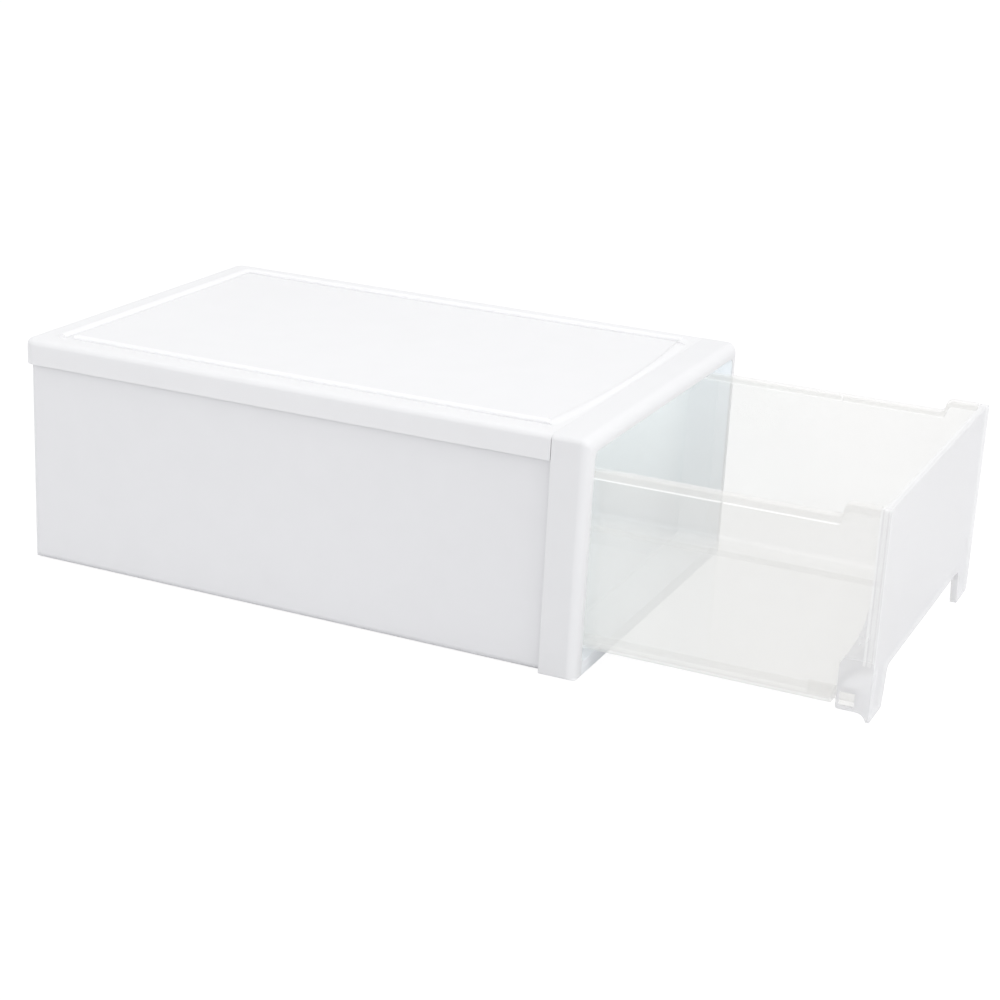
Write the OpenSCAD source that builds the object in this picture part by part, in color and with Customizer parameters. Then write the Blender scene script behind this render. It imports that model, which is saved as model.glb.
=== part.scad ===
// Stackable drawer box: a white moulded case of three pieces with one clear drawer.
// The origin lies under the middle of the case, on the surface it stands on.
// X runs to the right seen from the front, Y runs to the back, Z runs up.

/* [Case] */
// Width over the cover and the front frame
case_w = 340; // [290:5:420]
// Depth from the face of the front frame to the rear of the cover
case_d = 505; // [420:5:600]
// Height to the top of the cover, without the stacking ribs
case_h = 192; // [160:2:260]
// Wall thickness of the white mouldings
shell = 2.4; // [2:0.1:3]
// Step from the cover and the frame in to the walls of the body
body_step = 3.9; // [3.7:0.1:6]
// Radius of the body's upright rear corners
body_corner_r = 7; // [5:0.5:7.5]
// Radius along the body's bottom edges
body_base_r = 6.5; // [4:0.5:8]
// How far the body reaches into the front frame
body_reach = 20; // [12:1:21]

/* [Cover] */
// Height of the skirt that hangs over the body
skirt_h = 20.9; // [16:0.1:30]
// Radius of the cover's upright rear corners
cover_corner_r = 11; // [10.5:0.5:16]
// Radius along the top edges of the cover and the frame
top_edge_r = 5; // [3:0.5:6]
// Gap between the cover and the front frame
seam = 1; // [0.4:0.1:2]

/* [Stacking ribs] */
// Height of the ribs on the cover
rib_h = 3; // [2:0.2:4]
// Width of a rib
rib_w = 9; // [6:0.5:12]
// Distance of the ribs from the sides of the case
rib_side = 20.5; // [18:0.5:40]
// Distance of the rear rib from the rear of the case
rib_rear = 20.5; // [18:0.5:40]
// Distance of the bowed front rib from the cover's front edge, at the middle
rib_front = 1; // [1:0.5:10]
// Width of the bowed front rib
rib_front_w = 4.5; // [3:0.5:12]
// Height of the bowed front rib
rib_front_h = 1.8; // [1:0.2:4]
// Radius of the bow of the front rib
rib_bow_r = 1200; // [900:50:2000]
// Width of the drain slots at two corners of the rib ring
rib_slot = 6; // [4:0.5:10]
// Play of the ribs in the groove under the next box
stack_play = 1; // [0.5:0.1:1.5]

/* [Front frame] */
// Depth of the frame's outer flange
frame_depth = 31; // [26:1:40]
// Width of the frame's face at the sides
bezel_side = 12; // [11.5:0.5:16]
// Width of the frame's face at the top
bezel_top = 12; // [11.5:0.5:16]
// Height of the bottom rail at the mouth
rail_h = 12; // [11:0.5:16]
// Radius of the frame's outer front edges
frame_front_r = 9; // [6:0.5:9]
// Radius of the mouth's upper corners
mouth_top_r = 6; // [3:0.5:8]
// Radius of the mouth's lower corners
mouth_low_r = 4; // [2:0.5:6]
// Depth of the liner behind the frame's face
liner_depth = 38.5; // [34:0.5:46]
// Depth of the narrow band at the mouth's edge
liner_band = 12; // [8:0.5:20]
// Relief of the liner behind that band
liner_relief = 0.8; // [0.4:0.1:1.2]
// Height of the stop lip at the rear of the bottom rail
lip_h = 2; // [1.6:0.1:3]
// Thickness of the stop lip
lip_t = 3; // [2.4:0.1:3.2]

/* [Drawer] */
// How far the drawer stands open
drawer_out = 226; // [0:1:340]
// How far the drawer opens before its stops meet the lip
drawer_stop = 360; // [341:1:380]
// Wall thickness of the clear mouldings
clear_t = 2.2; // [1.8:0.1:2.6]
// Play between the drawer and each side of the mouth
side_play = 1; // [0.6:0.1:2]
// Play above the closed drawer
head_play = 3; // [2:0.5:6]
// How far the closed panel stands behind the frame's face
face_set = 2.5; // [1:0.5:5]
// Width of the rim outside the tray's walls
rim_w = 6.5; // [5.5:0.5:9]
// Depth of the rim's turned-down lip
rim_lip_h = 7.5; // [5:0.5:12]
// Height by which the tray's front end stands above its rim
rise_h = 10.5; // [8:0.5:14]
// Length of the raised front end, behind the panel's face
rise_len = 34.3; // [28:0.5:60]
// Radius of the two curves that lead down from the raised end
rise_r = 5.2; // [3:0.1:5.2]
// Lean of each side wall from rim to floor
draft = 3; // [1:0.5:5]
// Radius along the tray's bottom edges
tray_base_r = 7; // [4:0.5:10]
// Radius of the tray's upright rear corners
tray_corner_r = 8; // [4:0.5:12]
// Radius of the finger hollow at the tray's front
scoop_r = 30; // [28:0.5:36]
// Distance of the notch in the rim's lip behind the panel
lip_notch_at = 123; // [80:1:200]
// Width of the skids under the tray
skid_w = 6; // [4:0.5:10]
// Height of the skids
skid_h = 2.7; // [2:0.1:4]
// Distance of each skid from the middle
skid_x = 118; // [100:1:124]

/* [Drawer front] */
// Depth of the panel's top flange
panel_top_d = 5.5; // [4.5:0.5:7]
// Depth of the panel's side flanges
panel_side_d = 8; // [6:0.5:10]
// Radius of the panel's upper corners
panel_corner_r = 4; // [2:0.5:6]
// Height of the ears beside the finger opening
ear_h = 31; // [24:1:40]
// Width of an ear at the top of the finger opening
ear_w = 42.5; // [36:0.5:60]
// Lean of an ear's inner edge
ear_lean = 7.5; // [4:0.5:12]
// Radius of the finger opening's upper corners
ear_r = 6; // [3:0.5:10]
// Depth of the cheeks that close the finger opening's sides
cheek_d = 25.5; // [22:0.5:32]
// Height of a cheek's rear edge
cheek_h = 36; // [30:1:44]
// Height of the hollow curve above a cheek
cheek_sweep = 56; // [40:1:70]
// Height and depth of the hollow behind an ear's tip
ear_heel = 7.5; // [5:0.5:9]
// Length of the clip window in a cheek
clip_l = 12; // [8:0.5:14]
// Height of the clip window in a cheek
clip_h = 11; // [8:0.5:14]

/* [Hidden] */
$fn = 72;

white = [0.93, 0.93, 0.94];
cool_white = [0.9, 0.91, 0.93];
clear = [0.88, 0.9, 0.92, 0.45];
bleed = 10;              // overshoot of cuts past a face
touch = 0.3;             // running and snap clearance between pieces

// Places that several pieces share
half_w = case_w / 2;
front_y = -case_d / 2;
rear_y = case_d / 2;
flange_y = front_y + frame_depth;
liner_y = front_y + liner_depth;
body_x = half_w - body_step;
body_y = rear_y - body_step;
body_front_y = flange_y - body_reach;
plate_z = case_h - shell;
inner_edge_r = 1;
cover_y = flange_y + seam;
nose_drop = 1;           // the body's walls stop this far under the frame's top

// Mouth of the frame
mouth_x = half_w - bezel_side;
mouth_z = case_h - bezel_top;
lip_z = rail_h + lip_h;

// Snap beads on the body and the ridges that hook them
bead_t = body_step - shell - 0.4;
bead_w = 4;
bead_l = 30;
frame_bead_y = body_front_y + 5.5;
cover_bead_z = plate_z - 6;
frame_bead_zs = [for (i = [1:3]) i * case_h / 4];
cover_bead_ys = [for (i = [-2:1:1]) (i + 0.5) * case_d / 5];

// Drawer, in its own lengths behind the panel's face
closed_y = front_y + face_set;
face_y = closed_y - drawer_out;
drawer_x = mouth_x - side_play;
rear_play = 1.2;         // gap between the closed drawer and the back wall
tray_len = body_y - shell - rear_play - closed_y;
wall_x = drawer_x - rim_w;
floor_x = wall_x - draft;
panel_z = mouth_z - head_play;
rim_z = panel_z - rise_h;
tray_z = lip_z + touch + skid_h;
tray_y = clear_t + touch;
tray_rear = tray_len - rim_w;
rim_y = panel_side_d + 2 * touch;
tray_heel_r = tray_base_r - 0.6;  // rear bottom edge, a little tighter than the sides
runner_t = 3;
stop_h = tray_z - rail_h - 2 * touch;
stop_y = liner_y - (closed_y - drawer_stop) + touch;
stop_l = 8;
stop_w = 14;
stop_x = skid_x + skid_w / 2 + stop_w / 2;

// Drawer front
ear_z = rail_h + 0.5;
cut_z = ear_z + ear_h;
cut_x = drawer_x - ear_w;
cheek_z = ear_z + ear_heel;
cheek_top = cheek_z + cheek_h;
sweep_z = cheek_top + cheek_sweep;
sweep_y = cheek_d - panel_side_d;
sweep_r = (sweep_y * sweep_y + cheek_sweep * cheek_sweep) / (2 * sweep_y);
clip_y = cheek_d - 2 - clip_l;
clip_z = cheek_z + 3;
clip_play = 0.5;

// Stands a side view, drawn as (Y, Z), across the box from -x to x
module across(x) {
  rotate([90, 0, 90]) translate([0, 0, -x]) linear_extrude(2 * x) children();
}

// Stands a front view, drawn as (X, Z), along the box from y0 to y1
module along(y0, y1) {
  translate([0, y1, 0]) rotate([90, 0, 0]) linear_extrude(y1 - y0) children();
}

// Raises a plan, drawn as (X, Y), from z0 to z1
module up(z0, z1) {
  translate([0, 0, z0]) linear_extrude(z1 - z0) children();
}

// What a round of radius r takes off a square corner that points to +x, +y
module corner_waste(r) {
  difference() {
    translate([-r, -r]) square(r + bleed);
    translate([-r, -r]) circle(r);
    translate([-r - bleed, -r - bleed]) square([bleed, r + 2 * bleed]);
    translate([-r - bleed, -r - bleed]) square([r + 2 * bleed, bleed]);
  }
}

// Rectangle from [a0, b0] to [a1, b1] with its own radius at each corner:
// low left, low right, high right, high left
module rounded(a0, b0, a1, b1, radii) {
  corners = [[a0, b0, -1, -1], [a1, b0, 1, -1], [a1, b1, 1, 1], [a0, b1, -1, 1]];
  difference() {
    translate([a0, b0]) square([a1 - a0, b1 - b0]);
    for (i = [0:3])
      if (radii[i] > 0)
        translate([corners[i][0], corners[i][1]])
          mirror([corners[i][2] < 0 ? 1 : 0, 0])
            mirror([0, corners[i][3] < 0 ? 1 : 0])
              corner_waste(radii[i]);
  }
}

// Area above a flat edge from -x to x, h high: rounds of radius r at its foot,
// and above them sides that lean outwards by slope
module leaning_area(x, h, slope, r) {
  top_x = x + slope * (h - r);
  difference() {
    polygon([[-x, 0], [x, 0], [x, r], [top_x, h], [-top_x, h], [-x, r]]);
    for (s = [0, 1]) mirror([s, 0]) translate([x, 0]) mirror([0, 1]) corner_waste(r);
  }
}

// Block from y0 to y1 with rounded upright rear corners and rounded edges
// along its bottom and its top
module moulded_block(x, y0, y1, z0, z1, corner_r, low_r, high_r) {
  intersection() {
    up(z0, z1) rounded(-x, y0, x, y1, [0, 0, corner_r, corner_r]);
    along(y0, y1) rounded(-x, z0, x, z1, [low_r, low_r, high_r, high_r]);
    across(x) rounded(y0, z0, y1, z1, [0, low_r, high_r, 0]);
  }
}

// Area inside the rib ring, with its sides moved out by g and its bowed front by f
module ring_area(g, f) {
  bow_y = cover_y + rib_front + rib_bow_r;
  intersection() {
    translate([-half_w + rib_side - g, front_y])
      square([case_w - 2 * rib_side + 2 * g, case_d - rib_rear + g]);
    translate([0, bow_y]) circle(rib_bow_r + f, $fn = 720);
  }
}

// Ring of the stacking ribs, grown by g outwards and inwards
module ring(g) {
  difference() {
    ring_area(g, g);
    ring_area(-rib_w - g, -rib_front_w - g);
  }
}

// ---- Case body: floor, side walls and back in one moulding ----

module body_walls() {
  difference() {
    moulded_block(body_x, cover_y, body_y, 0, plate_z, body_corner_r, body_base_r, 0);
    moulded_block(body_x - shell, cover_y + shell, body_y - shell, shell, plate_z + bleed,
      body_corner_r - shell, body_base_r - shell, 0);
    // mouth in the front of the rear part, above the raised nose floor
    translate([-body_x + shell, cover_y - bleed, body_step + shell])
      cube([2 * (body_x - shell), 2 * bleed + shell, plate_z]);
  }
}

// Front stretch that slides into the frame, raised off the ground by the frame's wall
module body_nose() {
  inside = body_x - shell;
  top = plate_z - nose_drop;
  along(body_front_y, cover_y + shell) difference() {
    rounded(-body_x, body_step, body_x, top, [body_base_r, body_base_r, 0, 0]);
    rounded(-inside, body_step + shell, inside, top + bleed,
      [body_base_r - shell, body_base_r - shell, 0, 0]);
  }
}

// Rails on the floor that carry the drawer's skids
module body_runners() {
  runner_y = liner_y + touch;
  for (s = [-1, 1])
    translate([s * skid_x - runner_t / 2, runner_y, shell / 2])
      cube([runner_t, body_y - shell / 2 - runner_y, lip_z - shell / 2]);
}

// Beads on the outside that the frame and the cover snap over
module body_beads() {
  sunk = shell / 2;
  for (s = [0, 1]) mirror([s, 0, 0]) {
    for (z = frame_bead_zs)
      translate([body_x - sunk, frame_bead_y, z - bead_l / 2]) cube([sunk + bead_t, bead_w, bead_l]);
    for (y = cover_bead_ys)
      translate([body_x - sunk, y - bead_l / 2, cover_bead_z]) cube([sunk + bead_t, bead_l, bead_w / 2]);
  }
}

module case_body() {
  groove_z = rib_h + stack_play / 2;
  color(white) difference() {
    union() {
      body_walls();
      body_nose();
      body_runners();
      body_beads();
      // roof of the groove that takes the ribs of the box below
      intersection() {
        up(shell / 2, groove_z + shell) ring(stack_play + shell);
        moulded_block(body_x - shell / 2, cover_y, body_y - shell / 2, 0, case_h, 0, 0, 0);
      }
    }
    up(-bleed, groove_z) ring(stack_play);
  }
}

// ---- Top cover: lid with a skirt, and the stacking ribs on it ----

// Bars that cut two drain slots: one beside the rear rib on the left, one through
// the front rib near its right end
module rib_slots() {
  left_x = -half_w + rib_side;
  rear_rib_y = rear_y - rib_rear - rib_w;
  translate([left_x - bleed, rear_rib_y - rib_slot, case_h])
    cube([rib_w + bleed + touch, rib_slot, rib_h + bleed]);
  translate([-left_x - 2 * rib_w - rib_slot / 2, cover_y, case_h])
    cube([rib_slot, 2 * rib_w, rib_h + bleed]);
}

// Ridges inside the skirt that hook under the body's beads
module cover_ridges() {
  sunk = shell / 2;
  for (s = [0, 1]) mirror([s, 0, 0])
    for (y = cover_bead_ys)
      translate([half_w - shell - bead_t, y - bead_l / 2, cover_bead_z - touch - bead_w])
        cube([bead_t + sunk, bead_l, bead_w]);
}

// Tongue that reaches forwards under the top of the frame
module cover_tongue() {
  tongue_x = body_x - shell - 2 * touch;
  tongue_l = 10;
  tongue_z = plate_z - touch - shell;
  translate([-tongue_x, cover_y - tongue_l, tongue_z]) cube([2 * tongue_x, tongue_l + shell, shell]);
  translate([-tongue_x, cover_y, tongue_z]) cube([2 * tongue_x, shell, shell * 1.5]);
}

module top_cover() {
  skirt_z = case_h - skirt_h;
  color(white) {
    difference() {
      moulded_block(half_w, cover_y, rear_y, skirt_z, case_h, cover_corner_r, 0, top_edge_r);
      translate([0, -bleed, -bleed])
        moulded_block(half_w - shell, cover_y, rear_y - shell + bleed, skirt_z, plate_z + bleed,
          cover_corner_r - shell, 0, inner_edge_r);
    }
    cover_ridges();
    cover_tongue();
    difference() {
      up(plate_z + shell / 2, case_h + rib_h) ring(0);
      rib_slots();
      // the bowed front rib is lower than the others
      up(case_h + rib_front_h, case_h + rib_h + bleed) difference() {
        translate([-half_w + rib_side + rib_w, front_y]) square([case_w - 2 * rib_side - 2 * rib_w, case_d / 4]);
        ring_area(-rib_w - touch, -rib_front_w - touch);
      }
    }
  }
}

// ---- Front frame: rounded bezel with an outer flange and a liner ----

// Block with rounded front edges, open cuts run out at the rear
module frame_block(x, y0, y1, z0, z1, front_r, top_r, low_r) {
  intersection() {
    up(z0, z1) rounded(-x, y0, x, y1, [front_r, front_r, 0, 0]);
    along(y0, y1) rounded(-x, z0, x, z1, [low_r, low_r, top_r, top_r]);
    across(x) rounded(y0, z0, y1, z1, [low_r, 0, 0, front_r]);
  }
}

// The mouth's outline, grown by g
module mouth_area(g) {
  rounded(-mouth_x - g, rail_h - g, mouth_x + g, mouth_z + g,
    [mouth_low_r + g, mouth_low_r + g, mouth_top_r + g, mouth_top_r + g]);
}

// Rounded lip across the rear of the bottom rail, where the drawer stops
module frame_lip() {
  lip_y = liner_y - lip_t;
  across(mouth_x + shell / 2) {
    translate([lip_y, rail_h - shell / 2]) square([lip_t, lip_h + shell / 2 - lip_t / 2]);
    translate([lip_y + lip_t / 2, lip_z - lip_t / 2]) circle(lip_t / 2);
  }
}

module front_frame() {
  foot_r = 1.5;
  color(cool_white) {
    difference() {
      union() {
        difference() {
          frame_block(half_w, front_y, flange_y, 0, case_h, frame_front_r, top_edge_r, foot_r);
          frame_block(half_w - shell, front_y + shell, flange_y + bleed, shell, plate_z,
            frame_front_r - shell, inner_edge_r, 0);
        }
        along(front_y + shell / 2, liner_y) mouth_area(shell);
      }
      along(front_y - bleed, liner_y + bleed) mouth_area(0);
      along(front_y + liner_band, liner_y + bleed) intersection() {
        mouth_area(liner_relief);
        translate([-half_w, rail_h + mouth_low_r]) square([case_w, case_h]);
      }
    }
    frame_lip();
    // ridges that hook behind the body's beads
    for (s = [0, 1]) mirror([s, 0, 0])
      for (z = frame_bead_zs)
        translate([half_w - shell - bead_t, frame_bead_y + bead_w + touch, z - bead_l / 2])
          cube([bead_t + shell / 2, bead_w, bead_l]);
  }
}

// ---- Drawer tray: clear box with a turned-down rim and a hollow front ----

// Front view of the tray's space, grown by g: leaning sides, round bottom edges
module tray_section(g, top) {
  translate([0, tray_z - g])
    leaning_area(floor_x + g, top - tray_z + g, draft / (rim_z - tray_z), tray_base_r + g);
}

// Side view of all that lies under the rim line, lowered and drawn in by g
module under_rim(g) {
  top = rim_z - g;
  high = panel_z - g;
  edge = rise_len - g;
  foot_r = rise_r + g;
  translate([tray_y - bleed, tray_z - bleed]) square([tray_len + 2 * bleed, top - tray_z + bleed]);
  rounded(tray_y - bleed, top - bleed, edge, high, [0, 0, rise_r - g, 0]);
  difference() {
    translate([edge - touch, top - touch]) square(foot_r + touch);
    translate([edge + foot_r, top + foot_r]) circle(foot_r);
  }
}

// Plan of the rim's outer edge, drawn in by g
module rim_plan(g) {
  corner_r = tray_corner_r + rim_w - g;
  rounded(-drawer_x + g, rim_y, drawer_x - g, tray_len - g, [0, 0, corner_r, corner_r]);
}

// Space of the tray grown by g, up to top, with the finger hollow in its foot;
// g is 0 outside and minus the wall inside
module tray_space(g, top) {
  corner_r = tray_corner_r + g;
  low_z = tray_z - g;
  difference() {
    intersection() {
      along(tray_y - g, tray_rear + g) tray_section(g, top);
      across(drawer_x) rounded(tray_y - g, low_z, tray_rear + g, top, [0, tray_heel_r + g, 0, 0]);
      up(low_z, top) rounded(-wall_x - g, tray_y - g, wall_x + g, tray_rear + g,
        [0, 0, corner_r, corner_r]);
    }
    translate([-drawer_x, tray_y, tray_z]) rotate([0, 90, 0]) cylinder(2 * drawer_x, r = scoop_r - g);
  }
}

module tray_shell() {
  difference() {
    intersection() {
      tray_space(0, panel_z);
      across(drawer_x) under_rim(0);
    }
    tray_space(-clear_t, panel_z + bleed);
    // lower edge under the panel's top flange
    translate([-drawer_x, 0, panel_z - clear_t - touch]) cube([case_w, rim_y, bleed]);
  }
}

module tray_rim() {
  difference() {
    intersection() {
      up(0, case_h) rim_plan(0);
      across(drawer_x) difference() {
        under_rim(0);
        translate([0, -rim_lip_h]) under_rim(0);
      }
    }
    // hollow between the wall and the turned-down lip
    intersection() {
      translate([0, -bleed, 0]) up(0, case_h) rim_plan(clear_t);
      across(drawer_x) under_rim(clear_t);
    }
    tray_space(-clear_t / 2, panel_z + bleed);
    for (s = [-1, 1])
      translate([s * drawer_x - rim_w / 2, lip_notch_at, rim_z - rim_lip_h - bleed])
        cube([rim_w, clear_t, bleed + rim_lip_h - clear_t]);
  }
}

module tray_clips() {
  tongue_l = clip_l + cheek_d;
  hook_x = drawer_x - 2 * touch;
  for (s = [0, 1]) mirror([s, 0, 0]) {
    translate([floor_x - clear_t / 2, clip_y + clip_play, clip_z + clip_play])
      cube([clear_t, tongue_l, clip_h - 2 * clip_play]);
    translate([floor_x, clip_y + clip_play, clip_z + clip_play])
      cube([hook_x - floor_x, clip_l - 2 * clip_play, clip_h - 2 * clip_play]);
  }
}

// Skids that ride on the runners, and stops that meet the frame's lip
module tray_skids() {
  skid_y = tray_y + scoop_r + 2;
  for (s = [-1, 1]) {
    translate([s * skid_x - skid_w / 2, skid_y, tray_z - skid_h])
      cube([skid_w, tray_rear - tray_heel_r - skid_y, skid_h + clear_t / 2]);
    translate([s * stop_x - stop_w / 2, stop_y, tray_z - stop_h])
      cube([stop_w, stop_l, stop_h + clear_t / 2]);
  }
}

module drawer_tray() {
  color(clear) translate([0, face_y, 0]) {
    tray_shell();
    tray_rim();
    tray_clips();
    tray_skids();
  }
}

// ---- Drawer front: clear pan that clips over the front of the tray ----

// Front view of the finger opening between the ears, grown by g
module finger_area(g) {
  translate([0, cut_z + g]) mirror([0, 1])
    leaning_area(cut_x + g, ear_h + g + bleed, ear_lean / ear_h, max(ear_r - g, 1));
}

// Side view of a side flange with the cheek at its foot
module cheek_side() {
  difference() {
    union() {
      rounded(0, cheek_z, panel_side_d, panel_z, [0, 0, clear_t, 0]);
      rounded(0, cheek_z, cheek_d, sweep_z, [0, clear_t, 0, 0]);
      translate([0, ear_z]) square([clear_t + ear_heel, ear_heel + touch]);
    }
    translate([panel_side_d + sweep_r, sweep_z]) circle(sweep_r, $fn = 360);
    translate([panel_side_d, sweep_z]) square([sweep_r, bleed]);
    translate([clear_t + ear_heel, ear_z]) circle(ear_heel);
    translate([clip_y, clip_z]) square([clip_l, clip_h]);
  }
}

module drawer_front() {
  r = panel_corner_r;
  foot_r = mouth_low_r;
  color(clear) translate([0, face_y, 0]) intersection() {
    along(0, cheek_d) rounded(-drawer_x, ear_z, drawer_x, panel_z, [foot_r, foot_r, r, r]);
    difference() {
      union() {
        along(0, clear_t) rounded(-drawer_x, ear_z, drawer_x, panel_z, [0, 0, 0, 0]);
        // top flange and side flanges, with the rounds of the upper corners
        difference() {
          along(0, panel_top_d) rounded(-drawer_x, panel_z - 2 * r, drawer_x, panel_z, [0, 0, r, r]);
          along(-bleed, panel_top_d + bleed)
            rounded(-drawer_x + clear_t, panel_z - 3 * r, drawer_x - clear_t, panel_z - clear_t,
              [0, 0, r - clear_t, r - clear_t]);
        }
        for (s = [0, 1]) mirror([s, 0, 0]) intersection() {
          across(drawer_x) cheek_side();
          translate([drawer_x - clear_t, 0, 0]) cube([clear_t, cheek_d, case_h]);
        }
        // flange along the edge of the finger opening
        intersection() {
          along(0, panel_top_d) finger_area(clear_t);
          translate([-drawer_x, 0, ear_z]) cube([2 * drawer_x, panel_top_d, case_h]);
        }
      }
      along(-bleed, cheek_d + bleed) finger_area(0);
    }
  }
}

case_body();
top_cover();
front_frame();
drawer_tray();
drawer_front();
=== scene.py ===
import math

import bmesh
import bpy
from mathutils import Matrix, Vector


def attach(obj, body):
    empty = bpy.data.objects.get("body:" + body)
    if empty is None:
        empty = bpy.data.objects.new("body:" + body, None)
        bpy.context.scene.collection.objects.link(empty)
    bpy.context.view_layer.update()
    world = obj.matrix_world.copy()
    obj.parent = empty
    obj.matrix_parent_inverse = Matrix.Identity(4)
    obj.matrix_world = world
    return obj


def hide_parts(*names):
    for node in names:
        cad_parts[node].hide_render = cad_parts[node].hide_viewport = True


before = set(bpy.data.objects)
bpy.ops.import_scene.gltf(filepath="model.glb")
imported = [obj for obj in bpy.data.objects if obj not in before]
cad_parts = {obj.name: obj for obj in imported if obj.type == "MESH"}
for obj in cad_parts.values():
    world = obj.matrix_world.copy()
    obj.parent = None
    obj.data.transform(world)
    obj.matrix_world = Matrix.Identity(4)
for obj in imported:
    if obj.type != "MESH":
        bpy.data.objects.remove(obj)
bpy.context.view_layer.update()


# ---------------------------------------------------------------- case body
# The floor, the side walls and the back of the case: one tub of white
# polypropylene, injection moulded with 2.4 mm walls. Its front end slides into
# the frame, and the cover presses on over its upper edges.

BODY_EDGE = 0.35e-3  # round that the mould leaves on every edge
CASE_WHITE = (0.84, 0.842, 0.852)
PLASTIC_IOR = 1.49
WHITE_GRAIN = 0.0007  # size of the texture's grains
WAVES_PER_M, MOTTLES_PER_M = 9.0, 38.0
MOTTLE_TINT = 0.015  # share by which the mottling takes a colour up and down
RELIEF_DEPTH = 0.0004
WHITE_RELIEF, RUB_DULLS_WHITE = 0.25, 0.18
RUB_TURNS = (0.35, (900.0, 14.0, 300.0)), (-0.8, (16.0, 700.0, 260.0))
RUB_FROM, RUB_FULL = 0.70, 0.80  # what is left of the noise: thin lines only
# painted glow, standing in for light that comes through the walls: emission on the floor inside and under
# the cover
WALL_GLOW = ((0.085, 0.10, 0.11), (0.385, 0.43, 0.44))
GLOW_TOP = 0.19
# the painted glow shows on all that lies behind the mouth, in the room up to the cover's underside,
# and on the face of the bottom rail under the drawer
GLOWING_ROOMS = (
    ((-0.1640, -0.2514, 0.0022), (0.1640, 0.2465, 0.1860)),
    ((-0.1640, -0.2195, 0.0022), (0.1640, 0.2465, 0.1897)),
    ((-0.1580, -0.2530, -0.0010), (0.1580, -0.2480, 0.0121)),
)
# painted shade: in front of this stretch the painted glow is cut to a share of its strength, and it rises
# to full across it
FLANGE_SHADE_Y = (-0.216, -0.185)  # the wall is doubled by the flange in front of this stretch
PAINTED_FLANGE_SHADE = 0.70
MERGE_WITHIN = 2e-6
FLAT_WITHIN = 0.6  # degrees
FLAT_FACES_WEIGHT = 60


def value_socket(group, way, name, kind="NodeSocketFloat", default=None):
    """Adds a named input or output to a node group."""
    socket = group.interface.new_socket(name=name, in_out=way, socket_type=kind)
    if default is not None:
        socket.default_value = default
    return socket


def feed(tree, node, fed):
    """Links each named input to the output that is given for it, or sets it to the value."""
    for name, value in fed.items():
        if isinstance(value, bpy.types.NodeSocket):
            tree.links.new(value, node.inputs[name])
        else:
            node.inputs[name].default_value = value


def add_node(tree, kind, fed=None, **settings):
    """Adds a node, makes its settings, and then feeds its inputs."""
    node = tree.nodes.new(kind)
    for name, value in settings.items():
        setattr(node, name, value)
    feed(tree, node, fed or {})
    return node


def maths(tree, operation, *values, clamp=False):
    """The result of a math node on outputs of other nodes and plain numbers."""
    fed = dict(enumerate(values))
    return add_node(tree, "ShaderNodeMath", fed, operation=operation, use_clamp=clamp).outputs[0]


def noise(tree, at, scale, detail, roughness=0.5):
    """A value that wanders over the surface, scale times to the metre."""
    fed = {"Vector": at, "Scale": scale, "Detail": detail, "Roughness": roughness}
    return add_node(tree, "ShaderNodeTexNoise", fed).outputs["Fac"]


def ramp(tree, value, given, wanted=(0.0, 1.0), **settings):
    """Maps one range to another, and stays inside the second."""
    fed = {"Value": value}
    fed.update(zip(("From Min", "From Max", "To Min", "To Max"), (*given, *wanted)))
    return add_node(tree, "ShaderNodeMapRange", fed, **settings).outputs["Result"]


def blend(tree, share, colour, other):
    """Goes from one colour to the other as share goes from 0 to 1."""
    fed = {"Factor": share, "A": colour, "B": other}
    return add_node(tree, "ShaderNodeMix", fed, data_type="RGBA").outputs["Result"]


def rgba(colour, strength=1.0):
    """A colour made weaker or stronger, with its alpha."""
    return (*[min(1.0, part * strength) for part in colour], 1.0)


def inside_box(tree, along, low, high):
    """1 where X, Y and Z, taken from three outputs, lie inside a box, and 0 elsewhere."""
    inside = None
    for place, a, b in zip(along, low, high):
        near = maths(tree, "COMPARE", place, (a + b) / 2, (b - a) / 2)
        inside = near if inside is None else maths(tree, "MULTIPLY", inside, near)
    return inside


def mould_grain_group():
    """Spark-eroded texture of the mould, with the broad unevenness of a cooled wall."""
    group = bpy.data.node_groups.new("mould_grain", "ShaderNodeTree")
    value_socket(group, "INPUT", "Grain Size", default=0.0006)
    value_socket(group, "INPUT", "Grain Depth", default=0.3)
    value_socket(group, "INPUT", "Wall Waviness", default=0.3)
    value_socket(group, "OUTPUT", "Height")
    value_socket(group, "OUTPUT", "Mottle")
    given = add_node(group, "NodeGroupInput").outputs
    at = add_node(group, "ShaderNodeTexCoord").outputs["Object"]
    grains_per_m = maths(group, "DIVIDE", 1.0, given["Grain Size"])
    grain = noise(group, at, grains_per_m, 3.0, 0.6)
    deep = maths(group, "MULTIPLY", grain, given["Grain Depth"])
    wave = noise(group, at, WAVES_PER_M, 1.0)
    height = maths(group, "MULTIPLY_ADD", wave, given["Wall Waviness"], deep)
    mottle = noise(group, at, MOTTLES_PER_M, 4.0)
    add_node(group, "NodeGroupOutput", {"Height": height, "Mottle": mottle})
    return group


def handling_marks_group():
    """Hairline rubs that boxes get from being stacked and wiped: thin, long and faint."""
    group = bpy.data.node_groups.new("handling_marks", "ShaderNodeTree")
    value_socket(group, "INPUT", "Amount", default=0.5)
    value_socket(group, "OUTPUT", "Mask")
    given = add_node(group, "NodeGroupInput").outputs
    at = add_node(group, "ShaderNodeTexCoord").outputs["Object"]
    rubs = []
    for turn, stretch in RUB_TURNS:
        fed = {"Vector": at, "Rotation": (0.0, 0.0, turn), "Scale": stretch}
        lay = add_node(group, "ShaderNodeMapping", fed).outputs["Vector"]
        rubs.append(ramp(group, noise(group, lay, 1.0, 1.0), (RUB_FROM, RUB_FULL)))
    mask = maths(group, "MULTIPLY", maths(group, "MAXIMUM", *rubs), given["Amount"])
    add_node(group, "NodeGroupOutput", {"Mask": mask})
    return group


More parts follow.
